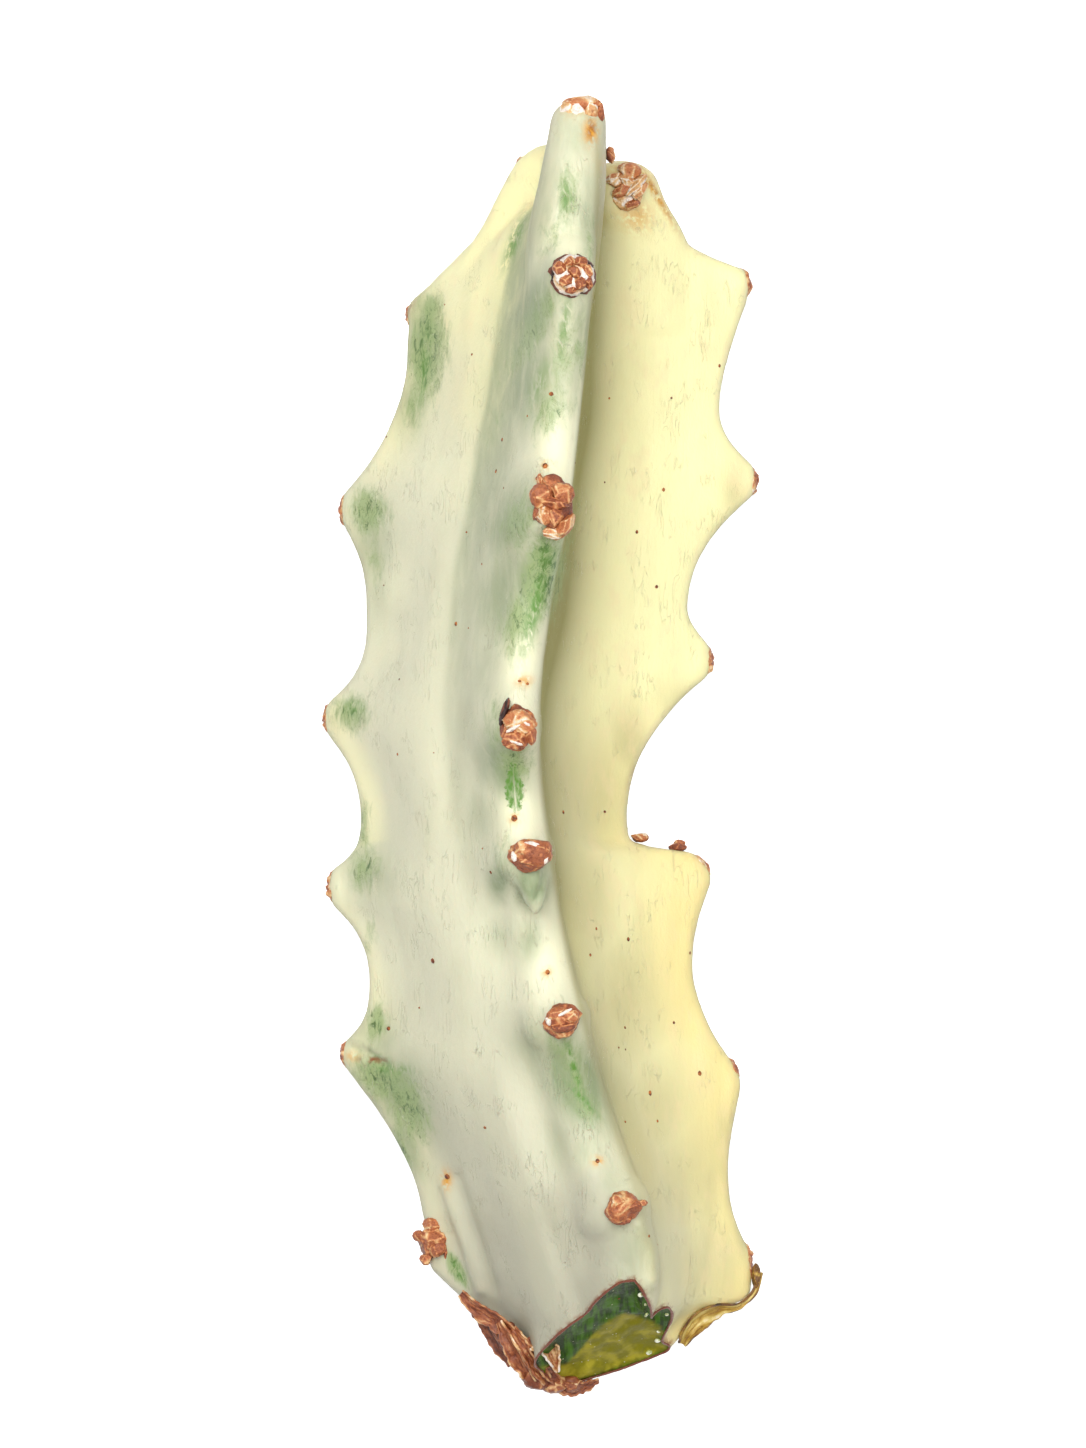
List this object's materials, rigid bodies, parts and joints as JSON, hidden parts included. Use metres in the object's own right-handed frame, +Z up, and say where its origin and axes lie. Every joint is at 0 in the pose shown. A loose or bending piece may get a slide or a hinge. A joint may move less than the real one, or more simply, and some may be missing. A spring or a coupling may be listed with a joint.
{
  "type": "euphorbia cutting",
  "caption": "Pale marbled cutting of a toothed, ribbed candelabra euphorbia with dried buds on its teeth and a slanted cut base, lying on its side ribs.",
  "frame": {"origin": "on the ground, under the middle of the box around the whole cutting", "axes": "+Y from the cut base to the growing tip, +Z up through the front rib, +X to the rib on the right as seen from above with the tip away"},
  "size_m": [0.0518, 0.1502, 0.0381],
  "materials": {
    "stem_skin": "waxy satin, cream and grey-white with green marbling",
    "dried_bud": "dry, crumpled, brown with pale dried sap",
    "dried_callus": "dry, curled, brown to ochre"
  },
  "bodies": {
    "root": {"stem": "stem_skin", "bud_front_tip": "dried_bud", "bud_front_2": "dried_bud", "bud_front_3": "dried_bud", "bud_front_4": "dried_bud", "bud_front_5": "dried_bud", "bud_front_6": "dried_bud", "bud_front_7": "dried_bud", "bud_left_tip": "dried_bud", "bud_left_2": "dried_bud", "bud_left_3": "dried_bud", "bud_left_4": "dried_bud", "bud_left_5": "dried_bud", "bud_left_6": "dried_bud", "bud_left_7": "dried_bud", "bud_right_tip": "dried_bud", "bud_right_2": "dried_bud", "bud_right_3": "dried_bud", "bud_right_4": "dried_bud", "bud_right_5": "dried_bud", "bud_right_6": "dried_bud", "bud_right_7": "dried_bud", "bud_between_horns": "dried_bud", "scab_right_hollow": "dried_bud", "scab_right_tooth": "dried_bud", "callus": "dried_callus", "dry_rim": "dried_callus"}
  },
  "joints": []
}
